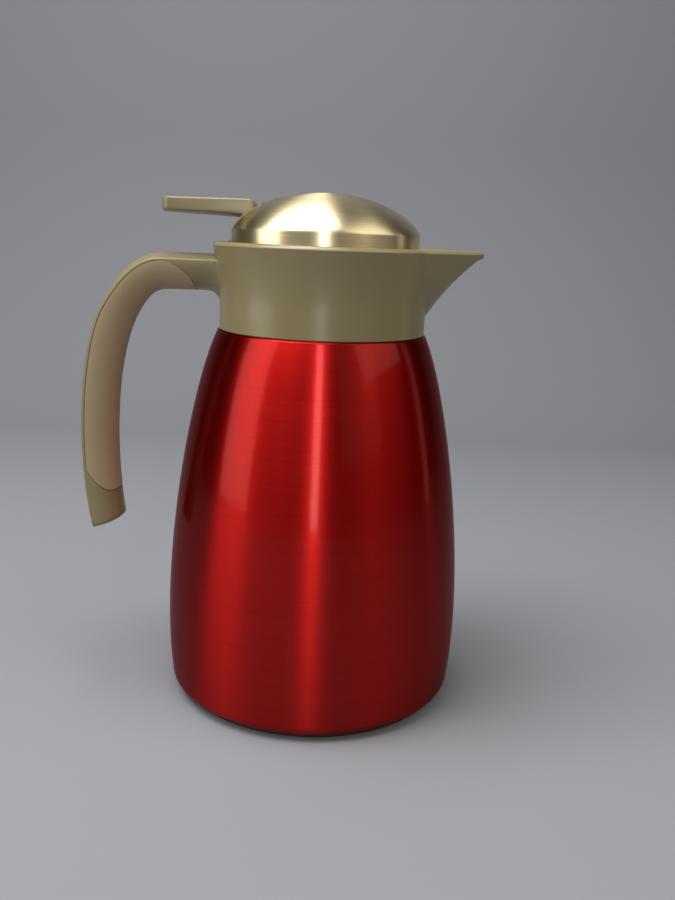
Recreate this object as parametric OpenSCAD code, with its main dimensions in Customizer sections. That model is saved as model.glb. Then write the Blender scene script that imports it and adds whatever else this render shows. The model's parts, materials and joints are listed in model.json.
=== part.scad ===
// Lever-lid vacuum jug. Millimetres. Origin on the jug's axis at the floor, +Z up, +X to the spout.

/* [Vessel] */
// Largest radius of the curved body wall at mid height
belly_r = 69; // [66:0.5:72]
// Radius of the turned-under hem of the outer shell
hem_r = 61; // [58:0.5:62]
// Height of the shoulder that the collar stands over
shoulder_z = 170.5; // [170:0.5:171]
// Radius of the body where it meets the shoulder
shoulder_r = 47.9; // [47.5:0.1:48.3]
// Sheet thickness of the shell and the liner
sheet_t = 0.6; // [0.5:0.1:0.8]
// Clear width of the evacuated space between the shell and the liner
vacuum_gap = 5.5; // [4:0.5:7]
// Inner radius of the mouth
mouth_r = 36; // [35.8:0.1:36.2]
// Height of the mouth above the floor
mouth_z = 186; // [186:0.1:186.2]

/* [Collar and spout] */
// Outer radius at the collar's bottom edge
collar_r = 46.7; // [46:0.1:47]
// Outer radius at the rim
rim_r = 50; // [49.5:0.1:51]
// Height of the rim
rim_z = 209; // [208:0.1:210]
// Radius of the rim's rounded edge
rim_round = 1.5; // [1.2:0.1:1.7]
// Wall thickness of the collar
collar_t = 1.9; // [1.6:0.1:2.2]
// Reach of the spout's lip from the axis
lip_x = 72.5; // [68:0.5:76]
// Height of the spout's lip
lip_z = 209; // [208.5:0.1:210.5]
// Half the spout's width where it leaves the rim
spout_half_w = 28; // [25:0.5:30]
// Half the spout's width at the lip
lip_half_w = 3.2; // [2.5:0.1:4]

/* [Handle] */
// Width of the handle across its outer face
handle_w = 25; // [22:0.5:28]
// Rise of the crown on the handle's outer face
handle_crown = 2.6; // [1:0.1:3.5]
// Thickness of the soft grip
grip_t = 1.8; // [1.2:0.1:2.4]

/* [Lid] */
// Radius of the dome's upright wall
dome_r = 42.6; // [42.2:0.1:43.2]
// Height of the dome's top
dome_z = 231.7; // [231:0.1:232.5]
// Sheet thickness of the dome
dome_t = 0.6; // [0.5:0.1:0.8]
// Width of the thumb lever
lever_w = 24; // [22:0.5:25]
// Distance of the lever's pivot from the axis, towards the spout
pivot_x = 28; // [26:0.5:28.5]
// Height of the lever's pivot
pivot_z = 216; // [215.5:0.1:216.2]
// Radius of the lever's pin
pin_r = 2; // [1.5:0.1:2.2]
// Radius of the valve stem
stem_r = 3; // [2.5:0.1:3.2]
// Number of turns in the return spring
spring_turns = 4; // [3:1:4]

/* [Hidden] */
$fn = 96;

run_gap = 0.05;
side_gap = 0.35;

hem_z = 1.8;
hem_bend = 6.5;
liner_floor_z = 15;
liner_bend = 12;
neck_outer = mouth_r + 2.6;
neck_top = mouth_z - sheet_t;

collar_foot_z = shoulder_z + 0.3;
bowl_floor_z = mouth_z + 2.4;
gasket_t = 0.8;
sleeve_r = mouth_r - 0.3;
sleeve_bore = mouth_r - 2.5;
sleeve_top = bowl_floor_z + 1.6;
sleeve_foot = 172;
ridge_h = 1;

flange_z = sleeve_top + 2;
stopper_r = sleeve_bore - 2.3;
stopper_wall = 2;
stopper_foot = 168;
valve_seat_r = 20.5;
lid_floor_z = 200;
lid_floor_t = 2.5;
screw_ring = 26.4;
screw_at = [60, 180, 300];
screw_r = 1.3;
skirt_z = 199;
dome_bend_z = 214.5;

slot_x = -28;
slot_z = 208.9;
bezel_w = 0.9;
slot_half = lever_w / 2 + side_gap + bezel_w;

cap_top = 213.6;
cap_under = 212;
stem_foot = 160;
disc_z = 163.5;
guide_top = 207.4;
guide_foot = 190;

function bez(p, n) = [for (i = [0 : n]) let (t = i / n, s = 1 - t)
    p[0] * s * s * s + 3 * p[1] * s * s * t + 3 * p[2] * s * t * t + p[3] * t * t * t];
function arc(c, r, a0, a1, n) = [for (i = [0 : n]) let (a = a0 + (a1 - a0) * i / n) c + r * [cos(a), sin(a)]];
function back(p) = [for (i = [len(p) - 1 : -1 : 0]) p[i]];
function unit(v) = v / norm(v);
function along(p, i) = unit(p[min(i + 1, len(p) - 1)] - p[max(i - 1, 0)]);
// A path moved sideways by d, to the right of its direction
function beside(p, d) = [for (i = [0 : len(p) - 1]) p[i] + d * [along(p, i).y, -along(p, i).x]];
function sheet(p, t) = concat(p, back(beside(p, -t)));
function right_of_axis(p) = [for (q = p) [max(q.x, 0), q.y]];
function mix(a, b, t) = a * (1 - t) + b * t;
function moved(points, d) = [for (p = points) p + d];

// Outlines are (radius, height), read from the bottom up
body_side = bez([[hem_r + hem_bend, hem_z + hem_bend], [belly_r + 4.7, 57.7], [60.2, 142.4],
    [shoulder_r, shoulder_z - 1.1]], 30);
shell_path = concat(
    arc([hem_r, hem_z + hem_bend], hem_bend, -90, -9, 8),
    body_side,
    arc([shoulder_r - 1, shoulder_z - 1], 1, 45, 90, 2),
    arc([neck_outer + 1.2, shoulder_z + 1.2], 1.2, -90, -180, 4),
    [[neck_outer, neck_top]]);
liner_side = [for (p = beside(body_side, -vacuum_gap)) if (p.y > liner_floor_z + liner_bend && p.y < 150) p];
liner_last = liner_side[len(liner_side) - 1];
liner_path = concat(
    [[0, liner_floor_z]],
    arc([liner_side[0].x - liner_bend, liner_floor_z + liner_bend], liner_bend, -90, -4, 8),
    liner_side,
    bez([liner_last + [-0.8, 2.5], liner_last + [-4, 11],
        [mouth_r + sheet_t, 162], [mouth_r + sheet_t, 174]], 8),
    [[mouth_r + sheet_t, neck_top]]);
liner_inner = beside(liner_path, -sheet_t);
collar_side = concat([[collar_r, collar_foot_z]],
    bez([[collar_r, 183], [collar_r, 192], [rim_r - 1.4, 201], [rim_r, rim_z - rim_round]], 12));
dome_path = concat([[dome_r, skirt_z], [dome_r, dome_bend_z - 1]],
    bez([[dome_r, dome_bend_z], [dome_r - 0.3, dome_bend_z + 2.6], [30.6, dome_z], [0, dome_z]], 24));

function collar_out(z) = z < 183 ? collar_r : lookup(z, [for (p = collar_side) [p.y, p.x]]);

// A solid skin through rings of points, closed at both ends
module loft(rings) {
    n = len(rings[0]);
    m = len(rings);
    first = [for (j = [0 : n - 1]) j];
    last = [for (j = [n - 1 : -1 : 0]) (m - 1) * n + j];
    skin = [for (i = [0 : m - 2], j = [0 : n - 1]) let (a = i * n + j, b = i * n + (j + 1) % n)
        each [[a, a + n, b + n], [a, b + n, b]]];
    polyhedron([for (r = rings) each r], concat([first], skin, [last]), convexity = 8);
}

module ring(r_out, r_in, z0, z1) {
    translate([0, 0, z0])
        difference() {
            cylinder(r = r_out, h = z1 - z0);
            translate([0, 0, -1]) cylinder(r = r_in, h = z1 - z0 + 2);
        }
}

// Three thread ridges, each a third of a turn on and a step higher
module ridges(r0, r1, z0) {
    for (k = [0 : 2])
        rotate([0, 0, 120 * k + 20])
            rotate_extrude(angle = 75)
                polygon([[r0, z0 + k - 0.4], [r1, z0 + k + 0.3], [r1, z0 + k + 0.9], [r0, z0 + k + 1.6]]);
}

module outer_shell() {
    color("#8e1020") rotate_extrude($fn = 180) polygon(sheet(shell_path, sheet_t));
}

module inner_liner() {
    color("#c9cbcc")
        rotate_extrude()
            polygon(concat(liner_path, [[neck_outer, neck_top], [neck_outer, mouth_z], [mouth_r, mouth_z]],
                right_of_axis(back(liner_inner))));
}

module base_plate() {
    r = hem_r + hem_bend - sheet_t - 0.2;
    color("#b5b7b8") {
        ring(r, 3, 10, 10.8);
        ring(r, r - 0.8, 10.8, 14);
    }
}

module vacuum_seal_cap() {
    color("#9a9c9e")
        rotate_extrude()
            polygon([[0, 8.6], [6, 8.6], [7, 9.3], [7, 10], [2.8, 10], [2.8, 10.8], [0, 10.8]]);
}

module base_cup() {
    color("#242326")
        rotate_extrude()
            polygon([[0, 1.4], [58.3, 1.4], [58.3, 0.4], [62.2, 0.4], [62.7, 0.8], [62.7, hem_z],
                [hem_r - 0.4, hem_z], [hem_r - 0.4, 8], [hem_r - 2.2, 8], [hem_r - 2.2, 3], [0, 3]]);
}

module foot_pad() {
    color("#1b1b1c") cylinder(r = 58, h = 1.4);
}

// Keel of the spout, (x, z), from the collar up to the lip
keel_foot = [46.9, 178];
keel_head = [lip_x - 0.4, lip_z - 3.2];
spout_keel = bez([keel_foot, [49.2, 181.2], [52.3, 190.6], keel_head - [2.7, 0.9]], 10);
keel_slope = atan((keel_head.y - keel_foot.y) / (keel_head.x - keel_foot.x));
keel_rise = 30;
spout_lean = 23;
spout_wall = 1.8;

// The solid between two leaning walls that meet two keel faces below, all drawn in by inset
module spout_walls(inset) {
    root_x = sqrt(rim_r * rim_r - spout_half_w * spout_half_w);
    taper = atan((spout_half_w - lip_half_w) / (lip_x - root_x));
    intersection_for (side = [0, 1])
        mirror([0, side, 0])
            intersection() {
                translate([root_x, spout_half_w - inset, rim_z])
                    rotate([0, 0, -taper])
                        rotate([-spout_lean, 0, 0])
                            translate([-60, -100, -60])
                                cube([160, 100, 90]);
                translate([keel_foot.x, 0, keel_foot.y])
                    rotate([0, -keel_slope, 0])
                        rotate([keel_rise, 0, 0])
                            translate([-60, -100, inset])
                                cube([160, 200, 100]);
            }
}

module spout_profile(points) {
    translate([0, 40, 0]) rotate([90, 0, 0]) linear_extrude(80) polygon(points);
}

module collar() {
    inner = [for (p = beside(collar_side, -collar_t)) if (p.y < rim_z - 5) p];
    bowl_side = [for (p = inner) if (p.y > bowl_floor_z + 1) p];
    floor_line = beside(spout_keel, -2);
    channel_floor = [for (p = floor_line) if (p.y > bowl_floor_z + 1 && p.y < lip_z - 2) p];
    color("#7d7558")
        difference() {
            union() {
                rotate_extrude($fn = 180)
                    polygon(concat(
                        [[collar_r - collar_t, collar_foot_z]],
                        collar_side,
                        arc([rim_r - rim_round, rim_z - rim_round], rim_round, 15, 180, 9),
                        back(bowl_side),
                        arc([collar_r - collar_t - 2, bowl_floor_z + 2], 2, 0, -90, 5),
                        [[mouth_r + 0.4, bowl_floor_z], [mouth_r + 0.4, mouth_z + gasket_t],
                            [neck_outer + 0.4, mouth_z + gasket_t], [neck_outer + 0.4, mouth_z - 1.4],
                            [collar_r - collar_t, mouth_z - 1.4]]));
                difference() {
                    intersection() {
                        spout_profile(concat([[30, rim_z], [30, keel_foot.y]], spout_keel, [keel_head,
                            [lip_x, lip_z - 2.6], [lip_x, lip_z - 0.8], [lip_x - 0.8, lip_z]]));
                        spout_walls(0);
                    }
                    rotate_extrude($fn = 180)
                        polygon(concat([[0, collar_foot_z]], inner, [[rim_r - 2 * rim_round, rim_z - rim_round],
                            [rim_r - 2 * rim_round, 240], [0, 240]]));
                }
            }
            intersection() {
                spout_profile(concat(
                    [[30, 230], [30, bowl_floor_z + 1], [channel_floor[0].x, bowl_floor_z + 1]],
                    channel_floor,
                    [[lip_x - 1.2, lip_z], [lip_x - 1.2, 230]]));
                spout_walls(spout_wall);
            }
        }
}

module neck_gasket() {
    color("#d8d5cc") ring(neck_outer, mouth_r + 0.6, mouth_z, mouth_z + gasket_t);
}

module thread_sleeve() {
    color("#6f6a55") {
        ring(sleeve_r, sleeve_bore, sleeve_foot, bowl_floor_z);
        ring(41, sleeve_bore, bowl_floor_z, sleeve_top);
        ridges(sleeve_bore + 0.1, sleeve_bore - ridge_h, 176);
    }
}

// The handle's outer and inner outlines, (x, z), from the collar to the free end
arm_z = 203.5;
arm_end = -72;
outer_bend = bez([[arm_end, arm_z], [-84.5, arm_z], [-95, 191.2], [-101.9, 176.1]], 8);
outer_sweep = bez([outer_bend[8], [-112.7, 150.6], [-111.9, 99.5], [-105.6, 74.2]], 12);
inner_bend = bez([[-70, 187], [-76.5, 187], [-79.4, 183], [-82.5, 177.9]], 8);
inner_sweep = bez([inner_bend[8], [-95.4, 156.9], [-95.4, 108.7], [-90.9, 80.4]], 12);
outer_line = concat(
    [for (x = [-49, -52, -58, -65]) [x, arm_z]],
    outer_bend,
    [for (i = [1 : 12]) outer_sweep[i]]);
inner_line = concat(
    [[-48.4, 184.6], [-52, 187], [-58, 187.2], [-64.5, 187.1]],
    inner_bend,
    [for (i = [1 : 12]) inner_sweep[i]]);
grip_from = 2;
grip_to = 21;
spine_edge = 0.9;
grip_fit = 0.06;
hair = 0.02;

// One section: a crowned outer face, an upright spine edge and a half-elliptical inner side, cut back by g
function handle_ring(k, g) = let (o = outer_line[k], i = inner_line[k], t = norm(o - i), d = (o - i) / t,
    half = handle_w / 2, edge = t - handle_crown)
    [for (q = concat(
        [for (j = [-3 : 3]) [half * j / 3, t - handle_crown * pow(abs(j) / 3, 2.2)]],
        [[half, edge - spine_edge]],
        [for (a = [10 : 16 : 170]) [(half - g) * cos(a), (edge - spine_edge) * (1 - sin(a)) + g * sin(a)]],
        [[-half, edge - spine_edge]]))
        [i.x + d.x * q[1], q[0], i.y + d.y * q[1]]];
function grip_ring(k) = let (o = outer_line[k], i = inner_line[k], t = norm(o - i), d = (o - i) / t,
    half = handle_w / 2, edge = t - handle_crown - spine_edge, thick = grip_t - grip_fit)
    [for (q = concat(
        [for (a = [2 : 16 : 178]) [half * cos(a), edge * (1 - sin(a))]],
        [for (a = [170 : -16 : 10]) [(half - thick) * cos(a), edge * (1 - sin(a)) + thick * sin(a)]]))
        [i.x + d.x * q[1], q[0], i.y + d.y * q[1]]];
// The root section is laid on the collar's curved wall, a little inside it
root_ring = [for (p = handle_ring(0, 0))
    [-sqrt(pow(collar_out(p.z) - 0.4, 2) - p.y * p.y), p.y * 1.1, p.z - 0.2]];

// The grip's recess starts and ends in a step, made by two rings a hair apart
module handle_frame() {
    last = len(outer_line) - 1;
    bare_start = [for (k = [0 : grip_from]) handle_ring(k, 0)];
    recessed = [for (k = [grip_from : grip_to])
        moved(handle_ring(k, grip_t), [k == grip_from ? -hair : 0, 0, 0])];
    bare_end = [for (k = [grip_to : last]) moved(handle_ring(k, 0), [0, 0, k == grip_to ? -hair : 0])];
    color("#7d7558") loft(concat([root_ring], bare_start, recessed, bare_end));
}

module handle_grip() {
    color("#8d8068")
        loft([for (k = [grip_from : grip_to])
            moved(grip_ring(k), [k == grip_from ? -2 * hair : 0, 0, k == grip_to ? 2 * hair : 0])]);
}

module slot_block(half, x, z) {
    translate([-60, -half, z]) cube([60 + x, 2 * half, 40]);
}

module lid_dome() {
    color("#b9b4a8")
        difference() {
            rotate_extrude($fn = 180) polygon(right_of_axis(sheet(dome_path, dome_t)));
            slot_block(slot_half, slot_x, slot_z);
        }
}

module slot_bezel() {
    color("#a29a80")
        intersection() {
            rotate_extrude($fn = 180)
                polygon(right_of_axis(concat(beside(dome_path, 0.4), back(beside(dome_path, -1.4)))));
            difference() {
                slot_block(slot_half - 0.02, slot_x - 0.02, slot_z + 0.02);
                slot_block(slot_half - bezel_w, slot_x - bezel_w, slot_z + bezel_w);
            }
        }
}

module lid_base() {
    r = dome_r - dome_t - 0.1;
    ear_in = lever_w / 2 + 0.4;
    ear_r = 4.2;
    color("#6f6a55")
        difference() {
            union() {
                ring(r, stem_r + run_gap, lid_floor_z, lid_floor_z + lid_floor_t);
                ring(r, r - 1.6, lid_floor_z, lid_floor_z + 7);
                ring(stem_r + 2.2, stem_r + run_gap, guide_foot, guide_top);
                for (side = [-1, 1])
                    translate([pivot_x, side * (ear_in + 1.5), 0])
                        rotate([90, 0, 0])
                            translate([0, 0, -1.5])
                                linear_extrude(3)
                                    union() {
                                        translate([0, pivot_z]) circle(r = ear_r);
                                        translate([-ear_r, lid_floor_z + 1])
                                            square([2 * ear_r, pivot_z - lid_floor_z - 1]);
                                    }
            }
            translate([pivot_x, 30, pivot_z]) rotate([90, 0, 0]) cylinder(r = pin_r, h = 60);
            for (a = screw_at)
                rotate([0, 0, a])
                    translate([screw_ring, 0, lid_floor_z - 1]) cylinder(r = screw_r + 0.2, h = 5);
        }
}

// Side outline of the lever, (x, z)
lever_tip = -71.8;
under_root = [-37.5, 219.8];
under_tip = [-70.8, 221];
lever_side = concat(
    [[lever_tip, 223], [lever_tip + 0.3, 226.3]],
    arc([lever_tip + 1.6, 226.2], 1.3, 175, 95, 4),
    arc([-33.8, 225.3], 2.5, 90, 10, 5),
    [[-30.4, 221.5], [-27, 220], [20, 220.4]],
    arc([pivot_x, pivot_z], 4.4, 90, -90, 12),
    [[20, 213.9]],
    arc([0, 216.9], 3, -50, -130, 6),
    [[-3.6, 216], [-24, 216.2], under_root, under_tip]);

// The thumb pad has rounded corners and a crowned underside that follows its slope
module lever() {
    crown_r = 60;
    corner_r = 4;
    blunt_r = 9;
    half = lever_w / 2;
    under_slope = atan((under_tip.y - under_root.y) / (under_root.x - under_tip.x));
    color("#7d7558")
        difference() {
            intersection() {
                translate([0, half, 0]) rotate([90, 0, 0]) linear_extrude(lever_w) polygon(lever_side);
                union() {
                    translate([lever_tip + blunt_r, 0, 190]) cylinder(r = blunt_r, h = 50);
                    translate([lever_tip, corner_r - half, 190]) cube([blunt_r, lever_w - 2 * corner_r, 50]);
                    translate([lever_tip + corner_r, -half, 190]) cube([120, lever_w, 50]);
                    for (y = [-1, 1])
                        translate([lever_tip + corner_r, y * (half - corner_r), 190])
                            cylinder(r = corner_r, h = 50);
                }
                union() {
                    translate([under_root.x, 0, under_root.y + crown_r])
                        rotate([0, under_slope - 90, 0])
                            translate([0, 0, -0.5])
                                cylinder(r = crown_r, h = 43);
                    translate([under_root.x - 0.5, -20, 190]) cube([80, 40, 50]);
                }
            }
            translate([pivot_x, 30, pivot_z]) rotate([90, 0, 0]) cylinder(r = pin_r + run_gap, h = 60);
        }
}

module lever_pin() {
    color("#c4c6c8")
        translate([pivot_x, lever_w / 2 + 4, pivot_z]) rotate([90, 0, 0]) cylinder(r = pin_r, h = lever_w + 8);
}

module stopper_body() {
    color("#d9d4c6")
        difference() {
            union() {
                ring(stopper_r, stopper_r - stopper_wall, stopper_foot, lid_floor_z);
                ring(stopper_r, valve_seat_r, stopper_foot, stopper_foot + 2);
                ring(36.4, stopper_r - stopper_wall, flange_z, flange_z + 2);
                ridges(stopper_r - 0.1, stopper_r + ridge_h, 180);
                for (a = screw_at)
                    rotate([0, 0, a]) translate([screw_ring, 0, 184]) cylinder(r = 3.2, h = lid_floor_z - 184);
            }
            for (a = screw_at)
                rotate([0, 0, a]) translate([screw_ring, 0, 187]) cylinder(r = screw_r, h = 20);
            for (a = [-32, 0, 32])
                rotate([0, 0, a]) translate([27, -5.5, flange_z + 2.4]) cube([10, 11, 4.4]);
            for (a = [150, 210])
                rotate([0, 0, a]) translate([27, -3, flange_z + 2.4]) cube([10, 6, 4.4]);
        }
}

module stopper_gasket() {
    color("#e4e0d4") ring(36.2, stopper_r + ridge_h + 0.6, sleeve_top, flange_z);
}

module stopper_screws() {
    color("#b9bbbd")
        for (a = screw_at)
            rotate([0, 0, a])
                translate([screw_ring, 0, 0])
                    difference() {
                        union() {
                            translate([0, 0, 188]) cylinder(r = screw_r, h = 15);
                            translate([0, 0, lid_floor_z + lid_floor_t]) cylinder(r = 2.8, h = 1.8);
                        }
                        translate([0, 0, lid_floor_z + lid_floor_t + 0.8]) cylinder(r = 1.2, h = 2, $fn = 6);
                    }
}

module valve_stem() {
    color("#c4c6c8") translate([0, 0, stem_foot]) cylinder(r = stem_r, h = cap_under - stem_foot);
}

module stem_cap() {
    color("#d9d4c6") translate([0, 0, cap_under]) cylinder(r = 9.5, h = cap_top - cap_under);
}

// Spring wire swept along a helix, an eight-sided ring at each step
spring_r = 7.6;
wire_r = 0.6;
spring_from = lid_floor_z + lid_floor_t + wire_r + 0.05;
spring_to = cap_under - wire_r - 0.05;
spring_steps = 16 * spring_turns;
function coil_ring(i) = let (a = 360 * i / 16, z = mix(spring_from, spring_to, i / spring_steps))
    [for (j = [0 : 7]) let (b = 45 * j, r = spring_r + wire_r * cos(b))
        [r * cos(a), r * sin(a), z + wire_r * sin(b)]];

module return_spring() {
    color("#c4c6c8") loft(back([for (i = [0 : spring_steps]) coil_ring(i)]));
}

module valve_disc() {
    color("#d9d4c6") ring(24, stem_r, disc_z, disc_z + 2.5);
}

module valve_gasket() {
    color("#e4e0d4") ring(23.4, stem_r, disc_z + 2.5, stopper_foot);
}

module stem_nut() {
    color("#b9bbbd")
        translate([0, 0, stem_foot])
            difference() {
                cylinder(r = 5.4, h = disc_z - stem_foot, $fn = 6);
                translate([0, 0, -1]) cylinder(r = stem_r, h = 6);
            }
}

outer_shell();
inner_liner();
base_plate();
vacuum_seal_cap();
base_cup();
foot_pad();
collar();
neck_gasket();
thread_sleeve();
handle_frame();
handle_grip();
lid_dome();
slot_bezel();
lid_base();
lever();
lever_pin();
stopper_body();
stopper_gasket();
stopper_screws();
valve_stem();
stem_cap();
return_spring();
valve_disc();
valve_gasket();
stem_nut();
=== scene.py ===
# %% [markdown]
# A lever-lid vacuum jug: a red lacquered steel body, a plastic collar with a spout, an arm with a soft grip,
# and a brushed steel dome with a thumb lever. The working design is already packed as a fixed frame, in
# metres, with the jug's axis on Z, the spout towards +X and the floor at z = 0. This lesson dresses that
# frame. It starts by loading it, because every piece made below rides on one of its bodies.

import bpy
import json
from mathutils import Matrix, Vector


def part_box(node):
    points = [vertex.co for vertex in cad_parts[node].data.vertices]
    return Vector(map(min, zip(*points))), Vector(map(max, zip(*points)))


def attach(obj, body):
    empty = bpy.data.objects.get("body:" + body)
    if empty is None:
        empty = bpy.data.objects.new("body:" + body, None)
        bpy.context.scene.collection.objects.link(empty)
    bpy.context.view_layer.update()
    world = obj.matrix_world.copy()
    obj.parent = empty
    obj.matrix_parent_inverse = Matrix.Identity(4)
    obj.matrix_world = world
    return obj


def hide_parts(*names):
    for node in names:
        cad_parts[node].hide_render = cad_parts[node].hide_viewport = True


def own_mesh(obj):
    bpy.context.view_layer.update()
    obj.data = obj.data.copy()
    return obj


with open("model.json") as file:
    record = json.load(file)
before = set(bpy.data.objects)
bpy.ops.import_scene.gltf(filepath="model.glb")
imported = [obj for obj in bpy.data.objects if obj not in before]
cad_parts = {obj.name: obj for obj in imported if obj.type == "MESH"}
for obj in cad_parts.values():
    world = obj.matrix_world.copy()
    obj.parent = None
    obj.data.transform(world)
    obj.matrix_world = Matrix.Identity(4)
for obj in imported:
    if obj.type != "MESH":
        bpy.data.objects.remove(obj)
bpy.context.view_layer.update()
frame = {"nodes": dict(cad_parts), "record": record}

# %% [markdown]
# Every outline here is drawn in millimetres, as a maker's drawing is, and turned to metres when its mesh is
# made. Long smooth outlines are cubic curves with four handles, and tight corners are arcs. Both could be
# curve objects, but plain lists of points can also be swept, offset and joined, so small functions are used.

# %% Outline helpers
import json
import math

import bmesh
import bpy
import numpy as np
from mathutils import Matrix, Vector

MM = 0.001


def curve(p0, p1, p2, p3, steps):
    """Points along a cubic curve whose handles are p1 and p2."""
    t = np.linspace(0.0, 1.0, steps)[:, None]
    s = 1.0 - t
    p0, p1, p2, p3 = (np.array(p, float) for p in (p0, p1, p2, p3))
    return s**3 * p0 + 3 * s**2 * t * p1 + 3 * s * t**2 * p2 + t**3 * p3


def arc(centre, radius, start_deg, end_deg, steps):
    """Points along a round corner."""
    a = np.radians(np.linspace(start_deg, end_deg, steps))
    return np.stack([centre[0] + radius * np.cos(a), centre[1] + radius * np.sin(a)], 1)


def beside(path, distance):
    """The path moved sideways, to the right of its direction."""
    along = np.gradient(np.asarray(path, float), axis=0)
    along /= np.linalg.norm(along, axis=1)[:, None]
    return path + distance * np.stack([along[:, 1], -along[:, 0]], 1)


def span_mm(node):
    """A CAD node's lowest and highest corners, in millimetres."""
    low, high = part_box(node)
    return np.array(low) / MM, np.array(high) / MM


print("outlines are drawn in units of", MM, "m")


# %% [markdown]
# Nearly every piece of this jug is a grid of points: rows run up the piece or along it, and columns run
# round it. One function turns such a grid into a mesh. It closes the grid where asked, merges the points that
# meet on the axis, and marks edges sharper than a set angle, so that round walls shade smoothly and real
# corners stay crisp.

# %% Mesh helpers
SHARP_ANGLE = math.radians(38)
MERGE_M, ZERO_EDGE_M = 1e-7, 1e-8


def piece_from_grid(name, rows, ring=True, loop=False, caps=False):
    """A mesh object from rows of points in millimetres.

    ring closes each row, loop joins the last row to the first, and caps closes the first and last rows.
    """
    rows = [np.asarray(r, float) for r in rows]
    wide = len(rows[0])
    mesh = bmesh.new()
    verts = [[mesh.verts.new(Vector(p) * MM) for p in row] for row in rows]
    last_row = len(rows) if loop else len(rows) - 1
    last_col = wide if ring else wide - 1
    for i in range(last_row):
        upper, lower = verts[i], verts[(i + 1) % len(rows)]
        for j in range(last_col):
            k = (j + 1) % wide
            mesh.faces.new((upper[j], upper[k], lower[k], lower[j]))
    if caps:
        mesh.faces.new(verts[0][::-1])
        mesh.faces.new(verts[-1])
    bmesh.ops.remove_doubles(mesh, verts=mesh.verts, dist=MERGE_M)
    bmesh.ops.dissolve_degenerate(mesh, edges=mesh.edges, dist=ZERO_EDGE_M)
    bmesh.ops.delete(mesh, geom=[e for e in mesh.edges if not e.link_faces], context="EDGES")
    bmesh.ops.delete(mesh, geom=[v for v in mesh.verts if not v.link_faces], context="VERTS")
    bmesh.ops.recalc_face_normals(mesh, faces=mesh.faces)
    return finish_mesh(name, mesh)


def finish_mesh(name, mesh):
    """Shades the faces smooth, keeps sharp edges crisp and puts the mesh in the scene as an object."""
    for face in mesh.faces:
        face.smooth = True
    for edge in mesh.edges:
        if len(edge.link_faces) == 2 and edge.calc_face_angle(0.0) > SHARP_ANGLE:
            edge.smooth = False
    data = bpy.data.meshes.new(name)
    mesh.to_mesh(data)
    mesh.free()
    obj = bpy.data.objects.new(name, data)
    bpy.context.scene.collection.objects.link(obj)
    print(f"{name}: {len(data.polygons)} faces")
    return obj


def turned(name, profile, columns=256):
    """A piece turned on a lathe round Z from a closed (radius, height) outline."""
    a = np.linspace(0.0, 2 * math.pi, columns, endpoint=False)
    rows = [np.stack([r * np.cos(a), r * np.sin(a), np.full(columns, z)], 1) for r, z in profile]
    return piece_from_grid(name, rows, loop=True)


def block(low, high):
    """A box in millimetres, used only to cut with."""
    corners = [(low[0], low[1]), (high[0], low[1]), (high[0], high[1]), (low[0], high[1])]
    rows = [[(x, y, z) for x, y in corners] for z in (low[2], high[2])]
    return piece_from_grid("cutter", rows, caps=True)


def carve(obj, cutter, how="DIFFERENCE"):
    """Cuts obj with cutter, deletes the cutter, and marks the new corners sharp."""
    modifier = obj.modifiers.new("carve", "BOOLEAN")
    modifier.operation, modifier.object, modifier.solver = how, cutter, "EXACT"
    solid = bpy.data.meshes.new_from_object(obj.evaluated_get(bpy.context.evaluated_depsgraph_get()))
    mesh = bmesh.new()
    mesh.from_mesh(solid)
    bmesh.ops.remove_doubles(mesh, verts=mesh.verts, dist=MERGE_M)
    name = obj.name
    for old in (obj, cutter):
        bpy.data.objects.remove(old)
    return finish_mesh(name, mesh)


def dress(obj, body, slot, *nodes):
    """Gives a piece its body, its finish and the CAD nodes it stands for."""
    obj.data.materials.clear()
    obj.data.materials.append(finishes[slot])
    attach(obj, body)
    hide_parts(*nodes)


# %% [markdown]
# The camera stands a forearm's length away, a little above the rim, and looks slightly down, as a person does
# who stands before the table. It is held with a small roll.

# %% Camera
CAMERA_AT = Vector((0.0, -0.42157, 0.21316))
PITCH, YAW, ROLL = (math.radians(d) for d in (13.146, 1.280, 2.322))
LENS_MM, SENSOR_MM = 36.54, 36.0
NEAREST_M = 0.01
ahead = Vector((math.sin(YAW) * math.cos(PITCH), math.cos(YAW) * math.cos(PITCH), -math.sin(PITCH)))
level = Vector((math.cos(YAW), -math.sin(YAW), 0.0))
above = level.cross(ahead)
right = math.cos(ROLL) * level + math.sin(ROLL) * above
up = math.cos(ROLL) * above - math.sin(ROLL) * level
camera = bpy.data.objects.new("camera", bpy.data.cameras.new("camera"))
camera.matrix_world = Matrix(
    [[right[i], up[i], -ahead[i], CAMERA_AT[i]] for i in range(3)] + [[0.0, 0.0, 0.0, 1.0]]
)
camera.data.sensor_width = SENSOR_MM
camera.data.lens = LENS_MM
camera.data.clip_start = NEAREST_M
bpy.context.scene.collection.objects.link(camera)
bpy.context.scene.camera = camera
print("camera", [round(c, 3) for c in CAMERA_AT])

# %% [markdown]
# Materials are built from one helper that sets the shader's own sockets, and each finish then adds its own
# texture. Steel that was brushed on a lathe has fine rings round the axis. The rings could be an image, but
# noise that is squeezed along Z and long across it gives them at any scale without a seam.

# %% Material helpers


def new_material(name, colour, roughness, metallic=0.0, **sockets):
    """A plain material. Other sockets of its shader are set by name, with _ for a space."""
    mat = bpy.data.materials.new(name)
    mat.use_nodes = True
    shader = mat.node_tree.nodes["Principled BSDF"]
    shader.inputs["Base Color"].default_value = (*colour, 1.0)
    shader.inputs["Roughness"].default_value = roughness
    shader.inputs["Metallic"].default_value = metallic
    for socket, value in sockets.items():
        shader.inputs[socket.replace("_", " ")].default_value = value
    return mat, mat.node_tree.nodes, mat.node_tree.links, shader


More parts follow.
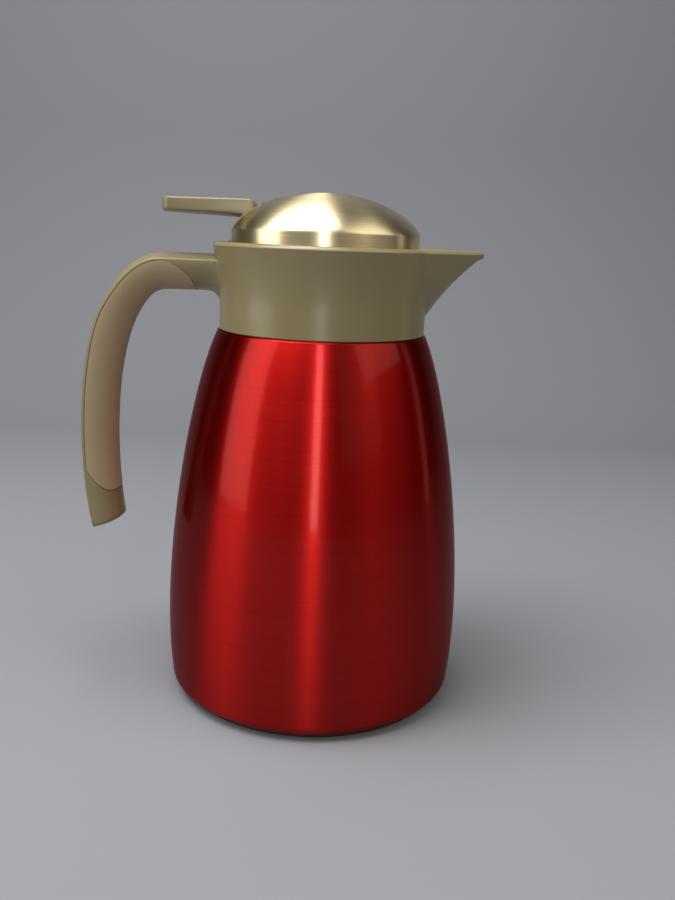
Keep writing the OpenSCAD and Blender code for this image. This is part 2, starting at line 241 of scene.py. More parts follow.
def noise(nodes, links, stretch, detail=3.0, rough=0.5):
    """Noise in the object's own space; stretch is features per metre along X, Y and Z."""
    where = nodes.new("ShaderNodeTexCoord")
    scale = nodes.new("ShaderNodeMapping")
    scale.inputs["Scale"].default_value = stretch
    texture = nodes.new("ShaderNodeTexNoise")
    texture.inputs["Scale"].default_value = 1.0
    texture.inputs["Detail"].default_value = detail
    texture.inputs["Roughness"].default_value = rough
    links.new(where.outputs["Object"], scale.inputs["Vector"])
    links.new(scale.outputs["Vector"], texture.inputs["Vector"])
    return texture.outputs["Fac"]


def ramp(nodes, links, source, low, high, colour_low, colour_high):
    """Maps a 0 to 1 value to a run between two colours."""
    run = nodes.new("ShaderNodeValToRGB")
    run.color_ramp.elements[0].position = low
    run.color_ramp.elements[1].position = high
    run.color_ramp.elements[0].color = (*colour_low, 1.0)
    run.color_ramp.elements[1].color = (*colour_high, 1.0)
    links.new(source, run.inputs["Fac"])
    return run.outputs["Color"]


def span(nodes, links, source, low, high):
    """Maps a 0 to 1 value to low to high."""
    mapped = nodes.new("ShaderNodeMapRange")
    mapped.inputs["To Min"].default_value = low
    mapped.inputs["To Max"].default_value = high
    links.new(source, mapped.inputs["Value"])
    return mapped.outputs["Result"]


def bump(nodes, links, shader, source, height_mm):
    """Shades the surface as if the source stood proud of it by up to height_mm."""
    relief = nodes.new("ShaderNodeBump")
    relief.inputs["Strength"].default_value = 1.0
    relief.inputs["Distance"].default_value = height_mm * MM
    links.new(source, relief.inputs["Height"])
    links.new(relief.outputs["Normal"], shader.inputs["Normal"])


def turn_tangent(nodes, links, shader):
    """Points the brushing round the Z axis."""
    tangent = nodes.new("ShaderNodeTangent")
    tangent.direction_type = "RADIAL"
    tangent.axis = "Z"
    links.new(tangent.outputs["Tangent"], shader.inputs["Tangent"])


print("helpers for noise, colour, roughness, relief and brushing")

# %% [markdown]
# Each finish is a short function, or one call of it, and the table keeps them under the frame's own slot
# names. The inner pieces keep their CAD meshes, and take their finish from the table here.

# %% Finishes
RED, RED_DARK, RED_LIGHT = (0.34, 0.007, 0.006), (0.28, 0.005, 0.004), (0.41, 0.010, 0.009)
TAUPE = (0.200, 0.168, 0.088)
GRIP = (0.300, 0.235, 0.140)
BRUSH_TURN = 0.25
LACQUER_PER_M = (25.0, 25.0, 7000.0)
STEEL_ROUND_PER_M, STEEL_LINES_PER_M = 35.0, 4200.0
PATCHES_PER_M = 45.0


def shades(colour, darker, lighter):
    """A darker and a lighter shade of a colour."""
    return tuple(c * darker for c in colour), tuple(min(c * lighter, 1.0) for c in colour)


def red_lacquer():
    """Clear red lacquer over steel that was brushed round the axis."""
    mat, nodes, links, shader = new_material(
        "red_lacquer", RED, 0.40, 1.0,
        Specular_Tint=(0.55, 0.10, 0.10, 1.0), Anisotropic=0.9, Anisotropic_Rotation=BRUSH_TURN,
        Coat_Weight=0.24, Coat_Roughness=0.11, Coat_IOR=1.45,
    )
    turn_tangent(nodes, links, shader)
    lines = noise(nodes, links, LACQUER_PER_M, 4.0, 0.6)
    tint = ramp(nodes, links, lines, 0.3, 0.72, RED_DARK, RED_LIGHT)
    links.new(tint, shader.inputs["Base Color"])
    links.new(span(nodes, links, lines, 0.36, 0.45), shader.inputs["Roughness"])
    bump(nodes, links, shader, lines, 0.0015)
    return mat


def brushed_steel(name, colour, lines_per_m=STEEL_LINES_PER_M, roughness=0.3):
    """Bare steel with fine rings round the axis."""
    dark, light = shades(colour, 0.8, 1.12)
    mat, nodes, links, shader = new_material(
        name, colour, roughness, 1.0, Anisotropic=0.8, Anisotropic_Rotation=BRUSH_TURN
    )
    turn_tangent(nodes, links, shader)
    lines = noise(nodes, links, (STEEL_ROUND_PER_M, STEEL_ROUND_PER_M, lines_per_m), 4.0, 0.65)
    links.new(ramp(nodes, links, lines, 0.3, 0.7, dark, light), shader.inputs["Base Color"])
    links.new(span(nodes, links, lines, roughness - 0.07, roughness + 0.12), shader.inputs["Roughness"])
    bump(nodes, links, shader, lines, 0.004)
    return mat


def moulded(name, colour, roughness, grain_mm, grain_height_mm, sheen=0.0):
    """Plastic or rubber with the fine spark-eroded grain of its mould and slow patches of wear and dust."""
    mat, nodes, links, shader = new_material(name, colour, roughness, Sheen_Weight=sheen)
    per_m = 1000.0 / grain_mm
    grain = noise(nodes, links, (per_m,) * 3, 2.0)
    patches = noise(nodes, links, (PATCHES_PER_M,) * 3, 3.0)
    dark, light = shades(colour, 0.96, 1.04)
    links.new(ramp(nodes, links, patches, 0.3, 0.7, dark, light), shader.inputs["Base Color"])
    links.new(span(nodes, links, patches, roughness - 0.02, roughness + 0.03), shader.inputs["Roughness"])
    bump(nodes, links, shader, grain, grain_height_mm)
    return mat


finishes = {
    "red_lacquer": red_lacquer(),
    "liner_steel": brushed_steel("liner_steel", (0.72, 0.72, 0.71)),
    "dome_steel": brushed_steel("dome_steel", (0.84, 0.73, 0.47), 6500.0, 0.31),
    "taupe_plastic": moulded("taupe_plastic", TAUPE, 0.28, 0.25, 0.002),
    "soft_grip": moulded("soft_grip", GRIP, 0.72, 0.18, 0.008, 0.15),
    "black_plastic": moulded("black_plastic", (0.018, 0.018, 0.02), 0.5, 0.3, 0.006),
    "foot_rubber": moulded("foot_rubber", (0.015, 0.015, 0.015), 0.8, 0.4, 0.01),
    "inner_plastic": moulded("inner_plastic", (0.13, 0.115, 0.075), 0.5, 0.3, 0.006),
    "stopper_plastic": moulded("stopper_plastic", (0.62, 0.58, 0.49), 0.4, 0.4, 0.004),
    "seal_rubber": moulded("seal_rubber", (0.70, 0.68, 0.62), 0.6, 0.5, 0.004),
    "pin_steel": brushed_steel("pin_steel", (0.70, 0.70, 0.70), 3000.0, 0.25),
    "spring_steel": brushed_steel("spring_steel", (0.66, 0.66, 0.66), 3000.0, 0.25),
}
for row in frame["record"]["subparts"]:
    node = frame["nodes"][row["node"]]
    node.data.materials.clear()
    node.data.materials.append(finishes[row["material_slot"]])
print("finishes:", len(finishes))

# %% [markdown]
# The body wall is one spun and lacquered sheet, so its profile is turned round the axis. The profile is a
# smooth curve sampled far more finely than a CAD export, because the lacquer shows every facet. A subdivided
# cylinder would need its loops tuned to hold the same curve.

# %% Body wall
shell_top = span_mm("outer_shell")[1][2]
WALL_T, SHELL_COLUMNS = 0.6, 288
HEM_R, HEM_Z, HEM_BEND = 61.0, 1.8, 6.5
SHOULDER_R, SHOULDER_Z, SHOULDER_BEND = 47.9, 170.5, 1.0
NECK_R, NECK_BEND = 38.6, 1.2
side_foot, side_head = (HEM_R + HEM_BEND, HEM_Z + HEM_BEND), (SHOULDER_R, SHOULDER_Z - 1.1)
side = curve(side_foot, (73.67, 57.7), (60.2, 142.4), side_head, 120)
wall = np.concatenate([
    arc((HEM_R, HEM_Z + HEM_BEND), HEM_BEND, -90, -4, 20),
    side,
    arc((SHOULDER_R - SHOULDER_BEND, SHOULDER_Z - SHOULDER_BEND), SHOULDER_BEND, 40, 90, 8),
    arc((NECK_R + NECK_BEND, SHOULDER_Z + NECK_BEND), NECK_BEND, -90, -180, 6),
    [(NECK_R, shell_top)],
])
shell = turned("outer_shell_skin", np.concatenate([wall, beside(wall, -WALL_T)[::-1]]), SHELL_COLUMNS)
dress(shell, "jug", "red_lacquer", "outer_shell")

# %% [markdown]
# The collar and its spout are one moulding. A lathe gives the round part, and the spout could be a second
# mesh joined by a boolean, but that leaves a torn edge where the two meet. Here every row of the grid is one
# level outline instead, and a point's distance from the axis is the larger of two: the round wall's, and the
# spout's. The spout ends where the first of its faces is met, a leaning side wall, a keel face or the keel's
# curved line, and a soft minimum rounds the edges between them. The same outline drawn in by the wall's
# thickness gives the bowl and the pouring channel.

# %% Collar faces
collar_low, collar_high = span_mm("collar")
FOOT_Z, COLLAR_R, COLLAR_T = collar_low[2], 46.7, 1.9
RIM_R, RIM_Z, RIM_ROUND = 50.0, 209.0, 1.5
LIP_X, LIP_Z = collar_high[0], collar_high[2]
SPOUT_HALF, LIP_HALF, SPOUT_WALL = 28.0, 3.2, 1.8
SIDE_LEAN_DEG, KEEL_RISE_DEG = 23, 30
SIDE_BLEND, NOSE_BLEND = 3.0, 2.5
NOSE_INSET_X, NOSE_INSET_Z = 0.6, 0.74
BOWL_Z, MOUTH_R, GASKET_TOP = 188.4, 36.4, 186.8
flare = curve((COLLAR_R, 183), (COLLAR_R, 192), (RIM_R - 1.4, 201), (RIM_R, RIM_Z - RIM_ROUND), 60)
keel_foot = np.array((46.9, 178.0))
keel_head = np.array((LIP_X - 0.4, LIP_Z - 3.2))
keel = curve(keel_foot, (49.2, 181.2), (52.3, 190.6), keel_head - (2.7, 0.9), 80)
keel = np.concatenate([keel, [keel_head, (LIP_X, LIP_Z - 2.6), (LIP_X, LIP_Z + 9)]])
root_x = math.sqrt(RIM_R**2 - SPOUT_HALF**2)
taper = (SPOUT_HALF - LIP_HALF) / (LIP_X - root_x)
lean = math.tan(math.radians(SIDE_LEAN_DEG)) * math.sqrt(1 + taper**2)
keel_slope = math.atan2(*(keel_head - keel_foot)[::-1])
keel_rise = math.radians(KEEL_RISE_DEG)
keel_face = (
    math.cos(keel_rise) * math.sin(keel_slope),
    math.sin(keel_rise),
    math.cos(keel_rise) * math.cos(keel_slope),
)
print("spout wall turns in by", round(math.degrees(math.atan(taper)), 1), "deg")


def collar_radius(z):
    """The radius of the collar's round wall at a height."""
    return np.interp(z, flare[:, 1], flare[:, 0], left=COLLAR_R)


def soft_min(a, b, blend):
    """The smaller of two values, rounded off where they are within blend of each other."""
    return np.minimum(a, b) - np.maximum(blend - np.abs(a - b), 0.0) ** 2 / (4 * blend)


def spout_reach(angle, z, inset):
    """How far from the axis the spout reaches at a height, in the directions given."""
    c, s = np.cos(angle), np.abs(np.sin(angle))
    wall = SPOUT_HALF + root_x * taper - (RIM_Z - z) * lean - inset * math.sqrt(1 + taper**2 + lean**2)
    under = keel_face[0] * keel_foot[0] + keel_face[2] * (z - keel_foot[1]) - inset
    front = np.interp(z - NOSE_INSET_Z * inset, keel[:, 1], keel[:, 0]) - NOSE_INSET_X * inset
    sides = soft_min(wall / (s + taper * c), under / (keel_face[0] * c + keel_face[1] * s), SIDE_BLEND)
    return soft_min(sides, front / c, NOSE_BLEND)


# %% [markdown]
# An outline is drawn at one height. It has the same number of points at every height, so that the rows join
# into a grid, and one column of that grid always lies on the crease between the spout and the round wall.

# %% Collar outline
NOSE_COLUMNS, WALL_COLUMNS, ROUND_COLUMNS = 16, 22, 200
NOSE_ANGLE = math.radians(7)
search = np.radians(np.linspace(3.0, 60.0, 1200))


def outline(z, inset=0.0):
    """One level outline of collar and spout, drawn in by inset, with a column on the crease between them."""
    radius = collar_radius(z) - inset
    spout_inset = inset * SPOUT_WALL / COLLAR_T
    beyond = np.nonzero(spout_reach(search, z, spout_inset) > radius)[0]
    crease = search[beyond[-1]] if len(beyond) else search[0]
    nose = min(NOSE_ANGLE, 0.5 * crease)
    front = np.concatenate([np.linspace(0, nose, NOSE_COLUMNS), np.linspace(nose, crease, WALL_COLUMNS)[1:]])
    reach = np.maximum(spout_reach(front, z, spout_inset), radius)
    reach[-1] = radius
    left = np.stack([reach * np.cos(front), reach * np.sin(front)], 1)
    ring = arc((0, 0), radius, math.degrees(crease), 360 - math.degrees(crease), ROUND_COLUMNS)[1:-1]
    return np.concatenate([left, ring, left[:0:-1] * (1, -1)])


def level_row(points, z):
    """An outline's points, all at one height."""
    return np.column_stack([points, np.full(len(points), z)])


def circle_row(points, radius, z):
    """A circle with a point in the direction of each point of an outline."""
    a = np.arctan2(points[:, 1], points[:, 0])
    return np.column_stack([radius * np.cos(a), radius * np.sin(a), np.full(len(a), z)])


print("collar outline:", len(outline(RIM_Z)), "points")

# %% [markdown]
# The moulding is a stack of outlines: up the outside, over the rounded rim, down the inside to the bowl, and
# through the mouth back to the foot. The rim is a little thicker than the wall below it.

# %% Collar
RIM_FLAT, RIM_DEPTH, FOOT_CHAMFER = 1.55, 5.0, 0.35
SEAT_R, SEAT_DEPTH, SLEEVE_R, FOOT_INNER_R = 39.0, 2.2, 44.6, 44.8
rim_edge = RIM_Z - RIM_ROUND
heights = np.concatenate([
    np.linspace(FOOT_Z + 0.8, keel_foot[1], 14),
    np.linspace(keel_foot[1] + 0.3, keel_head[1] - 1.2, 80),
    np.linspace(keel_head[1] - 1.1, rim_edge, 16),
])
rows = [level_row(outline(FOOT_Z, FOOT_CHAMFER), FOOT_Z)]
rows.append(level_row(outline(FOOT_Z + FOOT_CHAMFER), FOOT_Z + FOOT_CHAMFER))
rows += [level_row(outline(z), z) for z in heights]
for a in np.radians(np.arange(10, 181, 10)):
    inward = 1 - math.copysign(abs(math.cos(a)) ** RIM_FLAT, math.cos(a))
    upward = abs(math.sin(a)) ** RIM_FLAT
    rows.append(level_row(outline(rim_edge, RIM_ROUND * inward), rim_edge + RIM_ROUND * upward))
for z in np.linspace(rim_edge - 0.3, BOWL_Z + 2.0, 60):
    thicker = (2 * RIM_ROUND - COLLAR_T) * max(0.0, 1 - (rim_edge - z) / RIM_DEPTH) ** 2
    rows.append(level_row(outline(z, COLLAR_T + thicker), z))
bowl_corner = [(44.3, BOWL_Z + 0.8), (43.4, BOWL_Z + 0.2), (42.2, BOWL_Z)]
mouth = [(MOUTH_R, BOWL_Z), (MOUTH_R, GASKET_TOP)]
gasket_seat = [(SEAT_R, GASKET_TOP), (SEAT_R, GASKET_TOP - SEAT_DEPTH)]
sleeve = [(SLEEVE_R, GASKET_TOP - SEAT_DEPTH), (FOOT_INNER_R, FOOT_Z)]
guide = outline(FOOT_Z)
rows += [circle_row(guide, radius, z) for radius, z in bowl_corner + mouth + gasket_seat + sleeve]
collar = piece_from_grid("collar_moulding", rows, loop=True)
dress(collar, "jug", "taupe_plastic", "collar")

# %% [markdown]
# The handle leaves the collar as a level arm, bends, and sweeps down to a free end. It has a D section: a
# wide, slightly crowned outer face with small rounded edges, and a round inner side that the fingers close
# on. The soft grip is moulded over the inner side. Both pieces are skins of one surface, so two functions
# give a point on it, one for each side, from a place along the handle, a place across the section and a
# depth. The grip's curved ends are just lines on that surface. A subdivided box could be shaped by hand,
# but its two skins would not match.

# %% Handle surface
HANDLE_HALF, CROWN, CROWN_POWER, SPINE_EDGE = 12.5, 2.6, 2.2, 0.9
ARM_Z, ARM_FROM, ARM_TO = 203.5, 46.4, 72.0
ARM_SHARE, BEND_SHARE = 0.18, 0.24
arm_under, outer_knee, inner_knee = (-70.0, 187.0), (-101.9, 176.1), (-82.5, 177.9)
outer_arm = np.array([(-ARM_FROM, ARM_Z), (-ARM_TO, ARM_Z)])
outer_bend = curve((-ARM_TO, ARM_Z), (-84.5, ARM_Z), (-95.0, 191.2), outer_knee, 40)
outer_sweep = curve(outer_knee, (-112.63, 150.6), (-111.83, 99.5), (-105.6, 74.2), 80)
inner_arm = np.concatenate([
    curve((-ARM_FROM, 181.8), (-47.4, 185.0), (-49.2, 187.1), (-53.5, 187.2), 12),
    [arm_under],
])
inner_bend = curve(arm_under, (-76.5, 187.0), (-79.4, 183.0), inner_knee, 40)
inner_sweep = curve(inner_knee, (-95.4, 156.9), (-95.4, 108.7), (-90.9, 80.4), 80)


def run_along(path, share):
    """The point at a share of a path's length."""
    steps = np.concatenate([[0], np.cumsum(np.linalg.norm(np.diff(path, axis=0), axis=1))])
    return np.array([np.interp(share * steps[-1], steps, path[:, i]) for i in (0, 1)])


def handle_lines(t):
    """The outer and the inner line of the handle at t, 0 at the collar and 1 at the free end."""
    if t < ARM_SHARE:
        return run_along(outer_arm, t / ARM_SHARE), run_along(inner_arm, t / ARM_SHARE)
    t -= ARM_SHARE
    if t < BEND_SHARE:
        return run_along(outer_bend, t / BEND_SHARE), run_along(inner_bend, t / BEND_SHARE)
    t = (t - BEND_SHARE) / (1 - ARM_SHARE - BEND_SHARE)
    return run_along(outer_sweep, t), run_along(inner_sweep, t)


def section_at(t):
    """The inner line's point at t, the direction from it to the outer line, and the distance between them."""
    outer, inner = handle_lines(t)
    thick = np.linalg.norm(outer - inner)
    return inner, (outer - inner) / thick, thick


def grip_side(t, deg, inset=0.0):
    """A point on the round inner side; deg runs from 0 at one spine edge to 180 at the other."""
    inner, direction, thick = section_at(t)
    spine = thick - CROWN - SPINE_EDGE
    a = math.radians(deg)
    y = (HANDLE_HALF - inset) * math.cos(a)
    depth = spine * (1 - math.sin(a)) + inset * math.sin(a)
    return (inner[0] + direction[0] * depth, y, inner[1] + direction[1] * depth)


def spine_side(t, y, drop):
    """A point on the outer face, y across the handle and drop below the top of its crown."""
    inner, direction, thick = section_at(t)
    depth = thick - drop
    return (inner[0] + direction[0] * depth, y, inner[1] + direction[1] * depth)


BEAD_R, EDGE_GAP = 0.8, 0.02
crown_slope = math.atan(CROWN_POWER * CROWN / HANDLE_HALF)
crown_y = HANDLE_HALF - BEAD_R * (1 - math.sin(crown_slope))
crown_drop = CROWN * (crown_y / HANDLE_HALF) ** CROWN_POWER
half_spine = [(y, CROWN * (y / HANDLE_HALF) ** CROWN_POWER) for y in np.linspace(0, crown_y, 11)]
for b in np.linspace(crown_slope, math.pi / 2, 6)[1:]:
    bead_drop = BEAD_R * (math.cos(crown_slope) - math.cos(b))
    half_spine.append((HANDLE_HALF - BEAD_R * (1 - math.sin(b)), crown_drop + bead_drop))
half_spine.append((HANDLE_HALF, CROWN + SPINE_EDGE - EDGE_GAP))
spine_points = [(-y, drop) for y, drop in half_spine[:0:-1]] + half_spine
print("handle:", 2 * HANDLE_HALF, "mm wide, edges drop", round(crown_drop, 2), "mm below the crown")

# %% [markdown]
# The grip begins under the arm and stops above the handle's lower end. Both of its ends are curved, and each
# is given as a place along the handle for every place round the section. The hard core is drawn in by the
# grip's thickness where the grip lies, so its rows fall in three zones: before, along and after the grip.

# %% Grip outline
GRIP_START_IN, GRIP_START_OUT = 0.088, ARM_SHARE + 0.01
GRIP_END_IN, GRIP_END_OUT, GRIP_END_DIP, GRIP_END_POWER = 0.921, 0.838, 0.008, 1.6
GRIP_T = 1.5
EDGE_SHARE, END_SHARE = 0.0005, 0.93
ROOT_SINK, ROOT_WIDER = 0.4, 1.08
END_ROUND = [(0.985, 0.45), (0.95, 0.8), (0.9, 1.0), (0.7, 1.35), (0.4, 1.6), (0.1, 1.7)]
side_degs = np.linspace(0, 180, 49)


def grip_start(deg):
    """Where the grip begins along the handle, at a place round the section."""
    rise = 1 - math.sin(math.radians(deg))
    return GRIP_START_IN + (GRIP_START_OUT - GRIP_START_IN) * (1 - math.sqrt(max(0.0, 1 - rise**2)))


def grip_end(deg):
    """Where the grip stops along the handle, at a place round the section."""
    rise = 1 - math.sin(math.radians(deg))
    climb = (GRIP_END_OUT - GRIP_END_IN) * rise**GRIP_END_POWER
    dip = GRIP_END_DIP * math.sin(math.pi * rise)
    return GRIP_END_IN + climb + dip


def zone_limits(deg, zone):
    """Where a zone begins and ends along the handle, at a place round the section."""
    start, end = grip_start(deg), grip_end(deg)
    return {"before": (0.0, start), "along": (start, end), "after": (end, 1.0)}[zone]


def handle_row(share, zone, recess):
    """One row round the handle, at a share of one of its three zones: before, along and after the grip."""
    low, high = zone_limits(0, zone)
    row = [spine_side(low + (high - low) * share, y, drop) for y, drop in spine_points]
    for deg in side_degs:
        low, high = zone_limits(deg, zone)
        row.append(grip_side(low + (high - low) * share, deg, recess))
    return row


rows = [handle_row(s, "before", 0.0) for s in np.linspace(0, 1, 20)]
rows += [handle_row(s, "along", GRIP_T) for s in np.linspace(EDGE_SHARE, 1 - EDGE_SHARE, 110)]
rows += [handle_row(s, "after", 0.0) for s in np.linspace(0, END_SHARE, 14)]
end = np.array(rows[-1])
middle, heading = end.mean(0), end.mean(0) - np.array(rows[-2]).mean(0)
heading /= np.linalg.norm(heading)
for size, onward in END_ROUND:
    rows.append(middle + (end - middle) * size + heading * onward)
root = []
for x, y, z in rows[0]:
    root_y = y * ROOT_WIDER
    root.append((-math.sqrt((collar_radius(z) - ROOT_SINK) ** 2 - root_y**2), root_y, z))
rows[0] = root
handle = piece_from_grid("handle_core", rows, caps=True)
dress(handle, "jug", "taupe_plastic", "handle_frame")

# %% [markdown]
# The grip is the same surface at its full depth, closed by a second skin just above the core. It stops a
# little short of the core's steps, which leaves the fine seam of a second moulding.

# %% Grip
SEAM_SHARE, GRIP_LIFT = 0.0022, 0.05
grip_degs = np.linspace(0.8, 179.2, 60)
shares = np.linspace(0.0, 1.0, 120)


def grip_row(share, inset):
    """One row across the grip, at a share of the way from its start to its end."""
    row = []
    for deg in grip_degs:
        start, end = grip_start(deg) + SEAM_SHARE, grip_end(deg) - SEAM_SHARE
        row.append(grip_side(start + (end - start) * share, deg, inset))
    return row


outer_rows = [grip_row(s, 0.0) for s in shares]
under_rows = [grip_row(s, GRIP_T - GRIP_LIFT) for s in shares]
rows = [list(o) + list(u)[::-1] for o, u in zip(outer_rows, under_rows)]
grip = piece_from_grid("grip_skin", rows, caps=True)
dress(grip, "jug", "soft_grip", "handle_grip")

# %% [markdown]
# The dome is a spun steel shell, so it is turned like the body. The slot for the lever is cut through it as a
# press would, with a boolean, because its straight sides cross the dome's rings at a slant. A thin plastic
# bezel lines the slot. It is the same dome drawn a little thicker, cut to a frame by two blocks.

# %% Dome and slot bezel
DOME_R, DOME_Z, DOME_T, SKIRT_Z, SHOULDER = 42.6, 231.7, 0.6, 199.0, 214.5
SLOT_X, SLOT_Z, SLOT_HALF = -28.0, 208.9, 13.25
BEZEL_W, BEZEL_GAP, BEZEL_PROUD, BEZEL_DEEP = 0.9, 0.02, 0.35, 1.4
OUTSIDE_X, ABOVE_Z = -60, 250
dome_line = np.concatenate([
    [(DOME_R, z) for z in np.linspace(SKIRT_Z, SHOULDER - 1.0, 8)],
    curve((DOME_R, SHOULDER), (DOME_R - 0.3, SHOULDER + 2.6), (30.6, DOME_Z), (0.0, DOME_Z), 110)])


def dome_shell(name, outside, inside):
    """The dome's line turned into a shell that reaches outside and inside of it by the distances given."""
    skin = np.concatenate([beside(dome_line, outside), beside(dome_line, -inside)[::-1]])
    skin[:, 0] = np.maximum(skin[:, 0], 0.0)
    return turned(name, skin)


def slot_block(inset, longer=0):
    """A block that fills the slot and stands out past the dome, with its sides drawn in by inset."""
    low = (OUTSIDE_X - longer, inset - SLOT_HALF, SLOT_Z + inset)
    high = (SLOT_X - inset, SLOT_HALF - inset, ABOVE_Z + longer)
    return block(low, high)


dome = dome_shell("dome_skin", 0.0, DOME_T)
dome = carve(dome, slot_block(0.0))
dress(dome, "lid", "dome_steel", "lid_dome")
bezel = dome_shell("slot_bezel_frame", BEZEL_PROUD, BEZEL_DEEP)
bezel = carve(bezel, slot_block(BEZEL_GAP), "INTERSECT")
bezel = carve(bezel, slot_block(BEZEL_W, 1))
dress(bezel, "lid", "taupe_plastic", "slot_bezel")

# %% [markdown]
# The lever is one moulding: a thumb pad outside the dome and a thin arm inside it that turns on a pin. Its
# side outline is drawn once and laid in slices across its width. The outermost slices are drawn in, which
# rounds every long edge by the same radius. Then the slices are bent a little: the tip's corners are
# rounded in plan, the top is faintly crowned and the pad's underside bulges towards the middle.

# %% Lever
TIP_X, LEVER_HALF, EDGE_R, CORNER_R = -71.8, 12.0, 0.9, 4.0
PIVOT_X, PIVOT_Z, HUB_R = 28.0, 216.0, 4.4
TIP_BOW, CORNER_SHARE, CORNER_FROM_X, CORNER_RUN = 0.5, 0.85, -58.0, 14.0
TOP_FROM_Z, TOP_CROWN = 224.0, 0.25
PAD_END_X, PAD_BELOW_Z = -33.0, 222.4
BULGE_AT_X, BULGE = (TIP_X, -60.0, -45.0, -37.5, PAD_END_X), (0.55, 0.95, 1.25, 1.2, 0.0)
under_root, under_tip = np.array((-37.5, 219.8)), np.array((-70.4, 221.0))


def straight(start, end, steps):
    """Points along a straight line."""
    return np.array(start) + (np.array(end) - np.array(start)) * np.linspace(0, 1, steps)[:, None]


pad_under = straight(under_root, under_tip, 24)
lever_line = np.concatenate([
    # The pad: its underside, its tip, its top and the corner over the slot.
    pad_under,
    curve((-70.9, 221.05), (-71.5, 221.25), (TIP_X, 222.0), (TIP_X, 223.0), 7),
    [(TIP_X + 0.15, 224.7)],
    arc((TIP_X + 1.6, 226.2), 1.3, 175, 95, 8),
    straight((-69.0, 227.52), (-34.6, 227.8), 18),
    arc((-33.8, 225.3), 2.5, 90, 15, 9),
    # Down into the dome, along the top of the arm and round the hub on the pin.
    curve((-31.1, 224.9), (-30.7, 221.6), (-30.0, 220.1), (-26.5, 220.1), 9),
    straight((-20, 220.2), (19, 220.4), 6),
    arc((PIVOT_X, PIVOT_Z), HUB_R, 100, -100, 28),
    # Back under the arm, round the nose that presses the stem, and up to the pad.
    straight((19.5, 213.9), (3.0, 213.9), 4),
    arc((0.0, 216.9), 3.0, -62, -128, 7),
    straight((-3.6, 216.0), (-16.0, 216.1), 3),
    curve((-20.0, 216.2), (-28.0, 216.2), (-31.0, 218.8), under_root, 12)[:-1],
])


def lever_slice(y, inset):
    """The lever's side outline at y across its width, drawn in by inset."""
    along = np.roll(lever_line, -1, 0) - np.roll(lever_line, 1, 0)
    along /= np.linalg.norm(along, axis=1)[:, None]
    line = lever_line + inset * np.stack([along[:, 1], -along[:, 0]], 1)
    off = abs(y) / LEVER_HALF
    past_corner = max(0.0, abs(y) - (LEVER_HALF - CORNER_R))
    tip_back = CORNER_R - math.sqrt(max(0.0, CORNER_R**2 - past_corner**2)) + TIP_BOW * off**2
    x, z = line[:, 0].copy(), line[:, 1].copy()
    x += CORNER_SHARE * tip_back * np.clip((CORNER_FROM_X - x) / CORNER_RUN, 0, 1)
    upper = z > TOP_FROM_Z
    z[upper] -= TOP_CROWN * off**2
    pad = (x < PAD_END_X) & (line[:, 1] < PAD_BELOW_Z)
    z[pad] += off**2 * np.interp(x[pad], BULGE_AT_X, BULGE)
    return np.column_stack([x, np.full(len(x), y), z])


edge = [(EDGE_R * (1 - math.cos(b)), EDGE_R * (1 - math.sin(b))) for b in np.radians(np.linspace(0, 90, 7))]
slices = [(-LEVER_HALF + depth, inset) for depth, inset in edge]
slices += [(y, 0.0) for y in np.linspace(-LEVER_HALF + EDGE_R, LEVER_HALF - EDGE_R, 19)[1:-1]]
slices += [(-y, inset) for y, inset in slices[len(edge) - 1::-1]]
lever = piece_from_grid("lever_moulding", [lever_slice(y, inset) for y, inset in slices], caps=True)
dress(lever, "lever", "taupe_plastic", "lever")

# %% [markdown]
# A black ring closes the bottom and lifts the steel hem off the table. The return spring sits on the stem
# under the dome. It is a wire swept along a helix whose last turns lie flat, as a ground spring's do.

# %% Base ring and return spring
RING_IN, RING_OUT, RING_FOOT, RING_TOP = 58.3, 62.7, 0.4, 1.7
CUP_UNDER, CUP_FLOOR, CUP_TOP, CUP_T = 1.4, 3, 8, 1.8
cup_r = HEM_R - 0.4
ring_line = np.array([
    (0, CUP_UNDER), (RING_IN, CUP_UNDER), (RING_IN, 0.55), (58.45, RING_FOOT),
    (62.1, RING_FOOT), (62.4, 0.48), (62.62, 0.7), (RING_OUT, 1.0), (RING_OUT, RING_TOP),
    (62.6, HEM_Z), (cup_r, HEM_Z), (cup_r, CUP_TOP), (cup_r - CUP_T, CUP_TOP),
    (cup_r - CUP_T, CUP_FLOOR), (0, CUP_FLOOR),
])
base_ring = turned("base_ring", ring_line)
dress(base_ring, "jug", "black_plastic", "base_cup")
spring_low, spring_high = span_mm("return_spring")
WIRE_R, TURNS, COIL_STEPS = 0.6, 4, 240
FLAT_SHARE, FLAT_RISE = 0.12, 0.04
coil_r = spring_high[0] - WIRE_R
rows = []
for step in np.linspace(0, 1, COIL_STEPS):
    a = 2 * math.pi * TURNS * step
    rise = np.interp(step, (0, FLAT_SHARE, 1 - FLAT_SHARE, 1), (0, FLAT_RISE, 1 - FLAT_RISE, 1))
    z = spring_low[2] + WIRE_R + rise * (spring_high[2] - spring_low[2] - 2 * WIRE_R)
    wire = arc((coil_r, z), WIRE_R, 0, 330, 12)
    rows.append([(r * math.cos(a), r * math.sin(a), height) for r, height in wire])
spring = piece_from_grid("return_coil", rows, caps=True)
dress(spring, "lid", "spring_steel", "return_spring")
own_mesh(spring)
print("spring", round(spring_high[2] - spring_low[2], 2), "mm tall at rest")

# %% [markdown]
# The studio is a pale paper sweep and soft lights. A tall panel stands on the left and paints the wide bright
# band on the lacquer. A narrow strip stands behind the camera for the thin line down the middle, and a bright
# square hangs overhead for the top edges and the dome. Weak warm panels on the right keep the dome's far side
# from going black. Each light is placed by its bearing from the camera's side, because on a turned wall a
# band appears at half that angle.

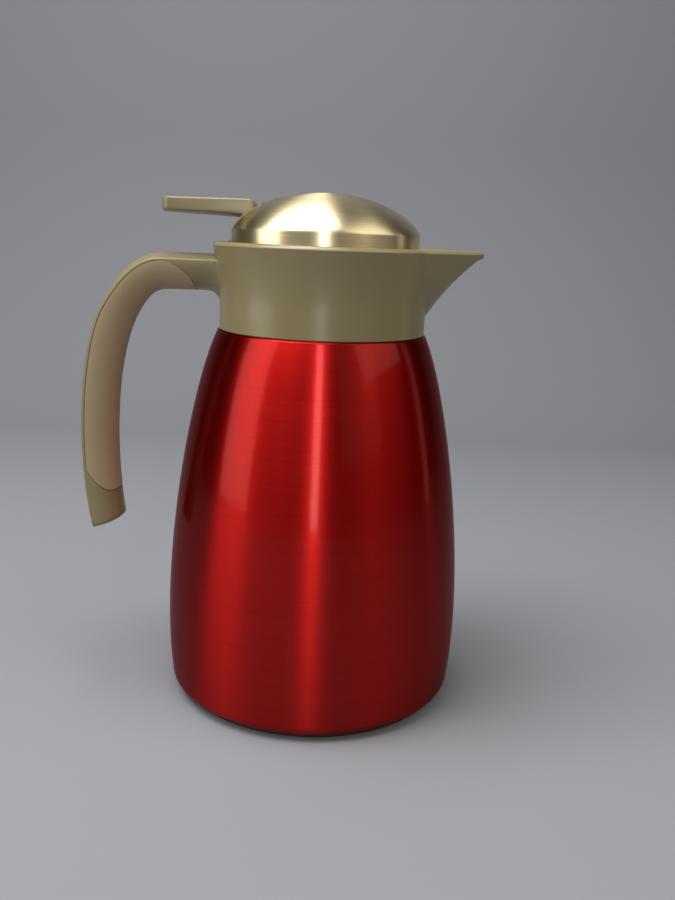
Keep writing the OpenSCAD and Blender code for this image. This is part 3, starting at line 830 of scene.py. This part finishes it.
# %% Studio
CENTRE = Vector((0.0, 0.0, 0.11))
PAPER = (0.230, 0.245, 0.278)
ROOM_COLOUR, ROOM_STRENGTH = (0.8, 0.82, 0.88, 1.0), 0.03


def area_light(name, at, size, radiance, colour=(1.0, 1.0, 1.0), target=CENTRE):
    """A rectangular light, with its power worked out from how bright its face should look."""
    light = bpy.data.lights.new(name, "AREA")
    light.shape = "RECTANGLE"
    light.size, light.size_y = size
    light.energy = radiance * math.pi * size[0] * size[1]
    light.color = colour
    obj = bpy.data.objects.new(name, light)
    obj.location = at
    obj.rotation_euler = (Vector(target) - Vector(at)).to_track_quat("-Z", "Y").to_euler()
    bpy.context.scene.collection.objects.link(obj)


def from_bearing(bearing_deg, distance, height):
    """A place at a bearing round the jug, counted from the camera's side."""
    a = math.radians(bearing_deg)
    return (distance * math.sin(a), -distance * math.cos(a), height)


def sweep_backdrop():
    """A paper sweep in metres: a floor that bends up into a wall behind the jug."""
    front, floor_y, bend, top, half = -1.2, 0.55, 0.35, 1.6, 1.4
    bent = arc((floor_y, bend), bend, -90, 0, 16)
    profile = np.concatenate([[(front, 0.0)], bent, [(floor_y + bend, top)]])
    rows = [[(x / MM, y / MM, z / MM) for x in np.linspace(-half, half, 9)] for y, z in profile]
    return piece_from_grid("backdrop", rows, ring=False)


backdrop = sweep_backdrop()
backdrop.data.materials.append(new_material("paper", PAPER, 0.95, Specular_IOR_Level=0.1)[0])

world = bpy.data.worlds.new("studio")
bpy.context.scene.world = world
world.use_nodes = True
background = world.node_tree.nodes["Background"]
background.inputs["Color"].default_value = ROOM_COLOUR
background.inputs["Strength"].default_value = ROOM_STRENGTH
area_light("panel_left", from_bearing(-69, 0.95, 0.48), (0.55, 0.95), 2.8, (1.0, 0.96, 0.88))
area_light("strip_front", from_bearing(-1, 1.1, 0.5), (0.12, 1.0), 10.0, (1.0, 0.96, 0.90))
area_light("soft_top", (-0.28, -0.12, 1.1), (0.7, 0.8), 9.5, (1.0, 0.97, 0.92), (0.0, 0.0, 0.15))
area_light("top_right", (0.7, -0.3, 0.9), (0.9, 0.9), 1.5, (1.0, 0.93, 0.8), (0.0, 0.0, 0.2))
area_light("room_warm", from_bearing(38, 1.3, 0.65), (0.9, 0.8), 0.4, (1.0, 0.84, 0.58))
area_light("fill_right", from_bearing(100, 0.8, 0.3), (0.10, 0.6), 0.7, (1.0, 0.88, 0.75))
bpy.context.scene.view_settings.view_transform = "Standard"
print("lights:", [light.name for light in bpy.data.lights])
